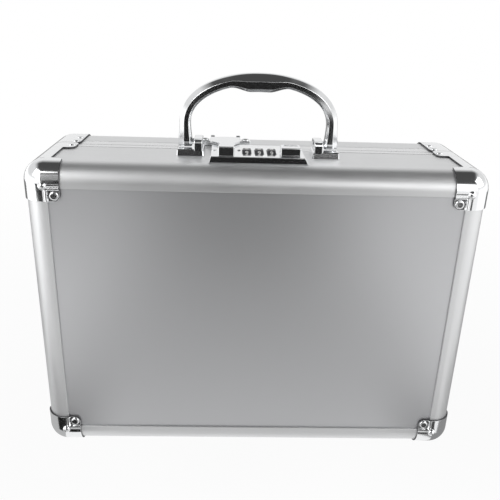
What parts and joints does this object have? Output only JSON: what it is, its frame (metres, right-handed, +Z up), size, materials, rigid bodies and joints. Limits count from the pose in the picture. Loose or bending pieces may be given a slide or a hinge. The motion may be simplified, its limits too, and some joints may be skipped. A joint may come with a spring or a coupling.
{
  "type": "medication lock box",
  "caption": "Upright aluminium case for medicines with chrome corners, carrying handle, hinged lid, combination lock and hasp.",
  "frame": {"origin": "centre of the footprint, at the bottom of the feet, with the case standing upright", "axes": "+X along the case's width to the viewer's right, +Y away from the viewer from base to lid, +Z up"},
  "size_m": [0.3356, 0.1176, 0.3017],
  "materials": {
    "satin_aluminium": "satin anodised extrusion, faint brushing along its length",
    "panel_aluminium": "finely grained matt sheet, slightly darker than the edges",
    "corner_chrome": "polished chrome pressings with small scuffs on the edges",
    "lock_chrome": "polished chrome",
    "hasp_chrome": "polished chrome",
    "handle_chrome": "polished chrome casting",
    "steel": "zinc plated steel, dull",
    "dial_black": "dark moulded wheels with pale plain digits",
    "lining": "short black felt over board",
    "rubber": "matt black rubber"
  },
  "bodies": {
    "base": {"base_profile_top": "satin_aluminium", "base_profile_bottom": "satin_aluminium", "base_profile_left": "satin_aluminium", "base_profile_right": "satin_aluminium", "base_rim": "satin_aluminium", "base_panel": "panel_aluminium", "base_corner_top_left": "corner_chrome", "base_corner_top_right": "corner_chrome", "base_corner_bottom_left": "corner_chrome", "base_corner_bottom_right": "corner_chrome", "lock_plate": "lock_chrome", "handle_bracket_left": "handle_chrome", "handle_bracket_right": "handle_chrome", "hinge_leaf_base_left": "steel", "hinge_leaf_base_right": "steel", "hinge_pin_left": "steel", "hinge_pin_right": "steel", "lock_undercase": "steel", "dial_axle": "steel", "slide_spring": "steel", "handle_pin_left": "steel", "handle_pin_right": "steel", "base_liner": "lining", "divider_long": "lining", "divider_short_upper": "lining", "divider_short_lower": "lining", "foot_base_left": "rubber", "foot_base_right": "rubber"},
    "lid": {"lid_profile_top": "satin_aluminium", "lid_profile_bottom": "satin_aluminium", "lid_profile_left": "satin_aluminium", "lid_profile_right": "satin_aluminium", "lid_rim": "satin_aluminium", "lid_panel": "panel_aluminium", "lid_corner_top_left": "corner_chrome", "lid_corner_top_right": "corner_chrome", "lid_corner_bottom_left": "corner_chrome", "lid_corner_bottom_right": "corner_chrome", "hinge_leaf_lid_left": "steel", "hinge_leaf_lid_right": "steel", "lid_liner": "lining", "foot_lid_left": "rubber", "foot_lid_right": "rubber", "hasp_block": "hasp_chrome", "hasp_pin": "steel", "hasp_rivet_left": "hasp_chrome", "hasp_rivet_right": "hasp_chrome"},
    "hasp": {"hasp_tongue": "hasp_chrome"},
    "handle": {"handle": "handle_chrome"},
    "dial_left": {"dial_1": "dial_black"},
    "dial_middle": {"dial_2": "dial_black"},
    "dial_right": {"dial_3": "dial_black"},
    "slide": {"slide_button": "lock_chrome", "latch_bolt": "steel"},
    "reset": {"reset_pin": "steel"}
  },
  "joints": [
    {"name": "lid_hinge", "type": "hinge", "parent": "base", "child": "lid", "pos_m": [0, 0.0105, 0.0043], "axis": [-1, 0, 0], "range_deg": [0, 100]},
    {"name": "hasp_hinge", "type": "hinge", "parent": "lid", "child": "hasp", "pos_m": [-0.025, 0.0192, 0.247], "axis": [-1, 0, 0], "range_deg": [0, 42]},
    {"name": "handle_pivot", "type": "hinge", "parent": "base", "child": "handle", "pos_m": [0, -0.0103, 0.2516], "axis": [-1, 0, 0], "range_deg": [-90, 75]},
    {"name": "dial_left_turn", "type": "hinge", "parent": "base", "child": "dial_left", "pos_m": [-0.0088, -0.0255, 0.2406], "axis": [1, 0, 0], "continuous": true},
    {"name": "dial_middle_turn", "type": "hinge", "parent": "base", "child": "dial_middle", "pos_m": [0.0002, -0.0255, 0.2406], "axis": [1, 0, 0], "continuous": true},
    {"name": "dial_right_turn", "type": "hinge", "parent": "base", "child": "dial_right", "pos_m": [0.0092, -0.0255, 0.2406], "axis": [1, 0, 0], "continuous": true},
    {"name": "slide_travel", "type": "slide", "parent": "base", "child": "slide", "axis": [1, 0, 0], "range_m": [0, 0.004], "stiffness_N_per_m": 300, "springref_m": -0.004, "deforming": ["slide_spring"]},
    {"name": "reset_press", "type": "slide", "parent": "base", "child": "reset", "axis": [0, 0, -1], "range_m": [0, 0.0015], "stiffness_N_per_m": 200, "springref_m": -0.002}
  ]
}
